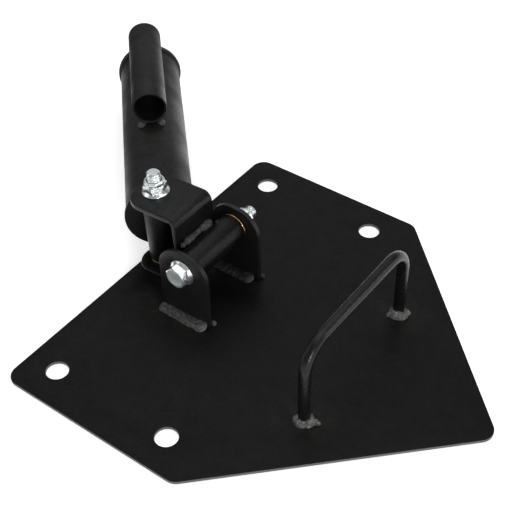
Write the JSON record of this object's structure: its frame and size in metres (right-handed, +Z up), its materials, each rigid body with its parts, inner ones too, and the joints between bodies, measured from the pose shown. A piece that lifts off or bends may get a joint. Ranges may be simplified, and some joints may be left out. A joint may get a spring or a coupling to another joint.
{
  "type": "barbell pivot attachment",
  "caption": "Floor base for one end of a barbell: a five-sided plate with a grab handle and a sleeve that tilts and swivels on two bolted pivots.",
  "frame": {"origin": "centre of the four floor holes, on the base plate's underside", "axes": "+X toward the plate's point and the grab handle, +Y to the side of the tilt bolt's nut, +Z up"},
  "size_m": [0.5225, 0.3866, 0.1085],
  "materials": {
    "powder_coat": "satin",
    "zinc": "bright zinc plate",
    "bronze": "satin",
    "nylon": "matte",
    "liner_plastic": "satin"
  },
  "bodies": {
    "base": {"base_plate": "powder_coat", "front_ear": "powder_coat", "rear_ear": "powder_coat", "front_ear_weld": "powder_coat", "rear_ear_weld": "powder_coat", "handle": "powder_coat", "handle_weld_front": "powder_coat", "handle_weld_rear": "powder_coat", "tilt_bolt": "zinc", "tilt_nut": "zinc", "tilt_nut_ring": "nylon"},
    "yoke_group": {"tilt_tube": "powder_coat", "tilt_bush_front": "bronze", "tilt_bush_rear": "bronze", "yoke": "powder_coat", "yoke_welds": "powder_coat", "swivel_bolt": "zinc", "swivel_nut": "zinc", "swivel_nut_ring": "nylon"},
    "sleeve_group": {"swivel_tube": "powder_coat", "swivel_bush_upper": "bronze", "swivel_bush_lower": "bronze", "swivel_tube_welds": "powder_coat", "sleeve_tube": "powder_coat", "sleeve_end_disc": "powder_coat", "sleeve_liner": "liner_plastic", "bar_tube": "powder_coat", "bar_tube_weld_near": "powder_coat", "bar_tube_weld_far": "powder_coat"}
  },
  "joints": [
    {"name": "tilt", "type": "hinge", "parent": "base", "child": "yoke_group", "pos_m": [-0.011, 0, 0.054], "axis": [0, 1, 0], "range_deg": [0, 153]},
    {"name": "swivel", "type": "hinge", "parent": "yoke_group", "child": "sleeve_group", "pos_m": [-0.06491, 0, 0.05082], "axis": [-0.0589, 0, 0.9983], "range_deg": [-38, 132]}
  ]
}
